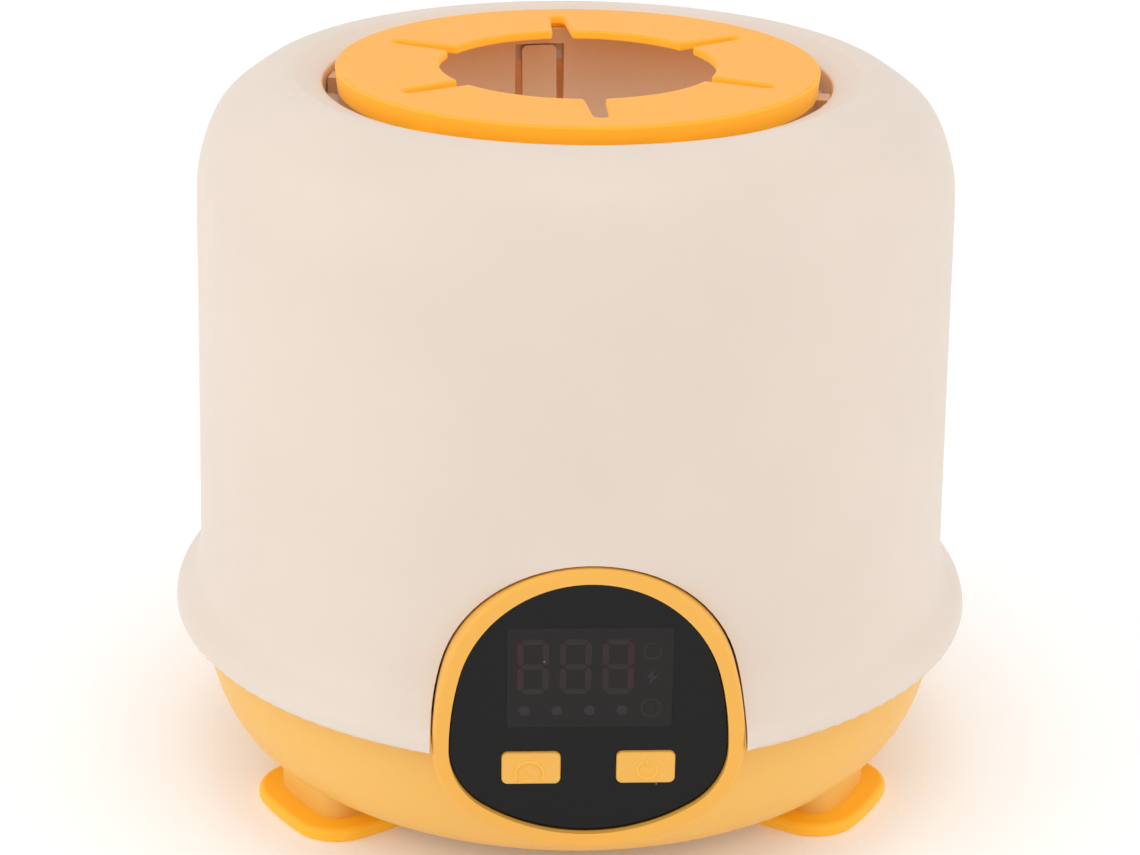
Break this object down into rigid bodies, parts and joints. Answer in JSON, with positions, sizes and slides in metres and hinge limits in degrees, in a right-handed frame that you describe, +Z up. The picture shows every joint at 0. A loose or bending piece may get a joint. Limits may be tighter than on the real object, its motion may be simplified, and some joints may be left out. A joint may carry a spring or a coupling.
{
  "type": "bottle warmer",
  "caption": "Free-standing cordless bottle warmer: bell housing on a bowl base with padded feet, a slit silicone bottle ring, a warming well and a two-button display panel.",
  "frame": {"origin": "on the floor, on the axis of the warming well", "axes": "+Z up along the well, -Y out of the control panel, +X to the right seen from the front"},
  "size_m": [0.1552, 0.1502, 0.139],
  "materials": {
    "cream_plastic": "fine satin moulded plastic, cream",
    "liner_plastic": "satin moulded plastic, cream",
    "orange_plastic": "fine satin moulded plastic, warm orange-yellow",
    "button_plastic": "satin moulded plastic with a shallow raised symbol",
    "ring_silicone": "soft matt silicone, saturated orange",
    "pad_silicone": "soft matt silicone, saturated orange",
    "lens_black": "polished black, smoked",
    "display_black": "matt black",
    "display_bars": "unlit display bars, translucent grey",
    "grey_rubber": "silicone sealing washer",
    "cup_aluminium": "drawn and brushed",
    "heater_foil": "amber heater film",
    "felt": "needled insulation felt",
    "inner_plastic": "black moulded plastic",
    "switch_pin": "white moulded plastic",
    "sensor_metal": "plated steel",
    "board_green": "solder-masked circuit board",
    "component_black": "moulded electronic parts",
    "cell_wrap": "shrink-wrapped cells",
    "port_metal": "plated steel shell",
    "ribbon_white": "flat flexible cable",
    "screw_steel": "zinc-plated steel"
  },
  "bodies": {
    "root": {"base_bowl": "orange_plastic", "battery_cells_left": "cell_wrap", "battery_cells_rear": "cell_wrap", "battery_cells_right": "cell_wrap", "battery_holder_left": "inner_plastic", "battery_holder_rear": "inner_plastic", "battery_holder_right": "inner_plastic", "board_components": "component_black", "board_screws": "screw_steel", "buzzer": "inner_plastic", "chamber_liner": "liner_plastic", "charging_port": "port_metal", "cup_cradle": "inner_plastic", "cup_seal": "grey_rubber", "display_module": "display_black", "display_ribbon": "ribbon_white", "display_segments": "display_bars", "foot_pad_front_left": "pad_silicone", "foot_pad_front_right": "pad_silicone", "foot_pad_rear_left": "pad_silicone", "foot_pad_rear_right": "pad_silicone", "heat_switch_body": "inner_plastic", "heater_film": "heater_foil", "heating_cup": "cup_aluminium", "housing_screws": "screw_steel", "housing_shell": "cream_plastic", "insulation_pad": "felt", "insulation_sleeve": "felt", "liner_screws": "screw_steel", "main_board": "board_green", "panel_bezel": "orange_plastic", "panel_board": "board_green", "panel_lens": "lens_black", "panel_screws": "screw_steel", "port_board": "board_green", "power_switch_body": "inner_plastic", "temperature_sensor": "sensor_metal", "thermal_fuse": "sensor_metal"},
    "silicone_ring": {"silicone_ring": "ring_silicone"},
    "heat_button": {"heat_button_cap": "button_plastic", "heat_switch_plunger": "switch_pin"},
    "power_button": {"power_button_cap": "button_plastic", "power_switch_plunger": "switch_pin"},
    "finger_1": {"centring_finger_1": "liner_plastic"},
    "finger_2": {"centring_finger_2": "liner_plastic"},
    "finger_3": {"centring_finger_3": "liner_plastic"}
  },
  "joints": [
    {"name": "ring_lift", "type": "slide", "parent": "root", "child": "silicone_ring", "axis": [0, 0, 1], "range_m": [0, 0.03]},
    {"name": "heat_press", "type": "slide", "parent": "root", "child": "heat_button", "axis": [0, 1, 0], "range_m": [0, 0.0006], "stiffness_N_per_m": 900, "springref_m": -0.0003},
    {"name": "power_press", "type": "slide", "parent": "root", "child": "power_button", "axis": [0, 1, 0], "range_m": [0, 0.0006], "stiffness_N_per_m": 900, "springref_m": -0.0003},
    {"name": "finger_1_flex", "type": "hinge", "parent": "root", "child": "finger_1", "pos_m": [-0.0059, 0.03855, 0.1336], "axis": [0.9885, 0.1513, 0], "range_deg": [0, 5], "stiffness_Nm_per_rad": 0.3, "springref_deg": -2.86},
    {"name": "finger_2_flex", "type": "hinge", "parent": "root", "child": "finger_2", "pos_m": [-0.03044, -0.02438, 0.1336], "axis": [-0.6252, 0.7804, 0], "range_deg": [0, 5], "stiffness_Nm_per_rad": 0.3, "springref_deg": -2.86},
    {"name": "finger_3_flex", "type": "hinge", "parent": "root", "child": "finger_3", "pos_m": [0.03634, -0.01417, 0.1336], "axis": [-0.3633, -0.9317, 0], "range_deg": [0, 5], "stiffness_Nm_per_rad": 0.3, "springref_deg": -2.86}
  ]
}
